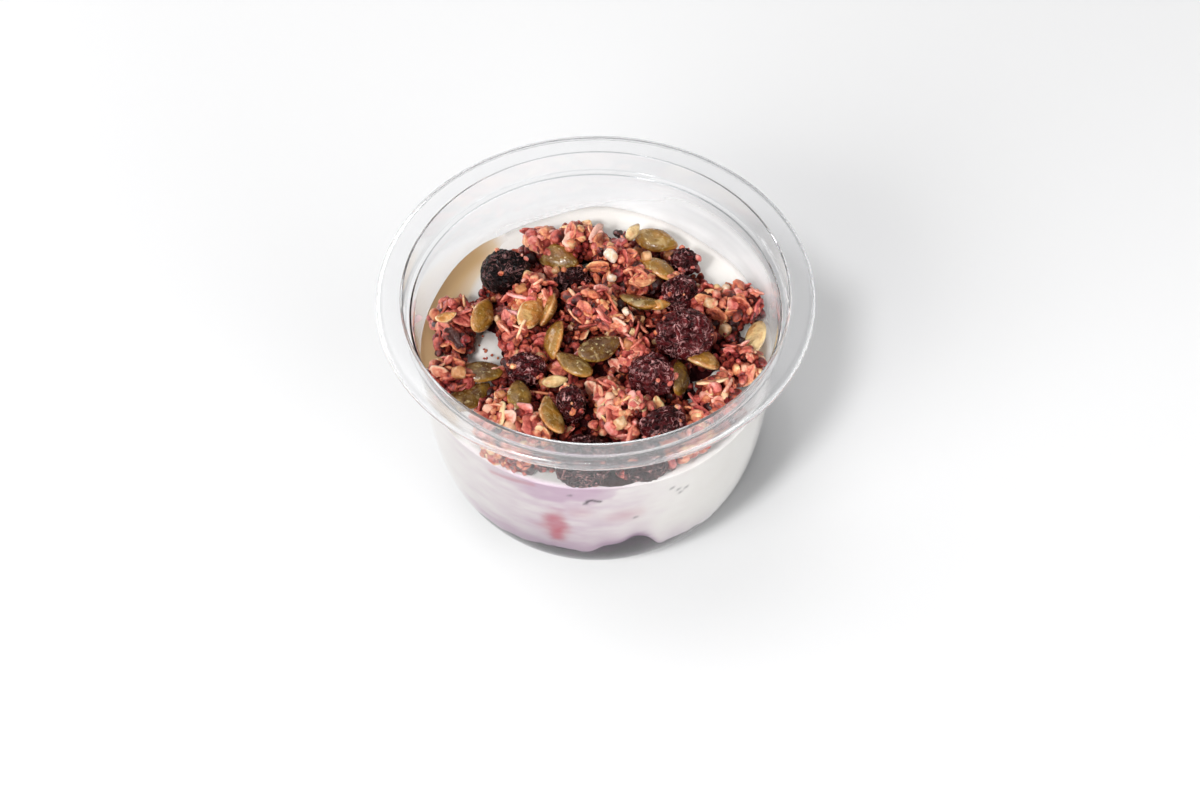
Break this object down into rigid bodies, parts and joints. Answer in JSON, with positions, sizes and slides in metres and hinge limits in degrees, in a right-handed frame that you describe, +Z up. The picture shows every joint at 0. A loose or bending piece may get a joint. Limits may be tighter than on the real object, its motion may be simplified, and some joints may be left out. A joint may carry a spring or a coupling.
{
  "type": "granola pot",
  "caption": "Clear plastic pot of yogurt over dark fruit compote, topped with red oat granola, pumpkin seeds, dried berries and a pool of honey.",
  "frame": {"origin": "middle of the pot's foot, on the surface it stands on", "axes": "+Z up through the pot's mouth, -Y to the side that the picture shows in front, +X to its right"},
  "size_m": [0.117, 0.117, 0.074],
  "materials": {
    "clear_plastic": "clear, glossy formed sheet",
    "compote": "moist dark fruit",
    "yogurt": "smooth, satin, white with lilac swirls",
    "honey": "clear amber syrup",
    "granola": "rough baked oats with a red coat",
    "dried_berry": "wrinkled, near black, slightly shiny"
  },
  "bodies": {
    "root": {"pot": "clear_plastic", "compote": "compote", "yogurt": "yogurt", "honey": "honey", "granola": "granola", "dried_berry_01": "dried_berry", "dried_berry_02": "dried_berry", "dried_berry_03": "dried_berry", "dried_berry_04": "dried_berry", "dried_berry_05": "dried_berry", "dried_berry_06": "dried_berry", "dried_berry_07": "dried_berry", "dried_berry_08": "dried_berry", "dried_berry_09": "dried_berry", "dried_berry_10": "dried_berry", "dried_berry_11": "dried_berry"}
  },
  "joints": []
}
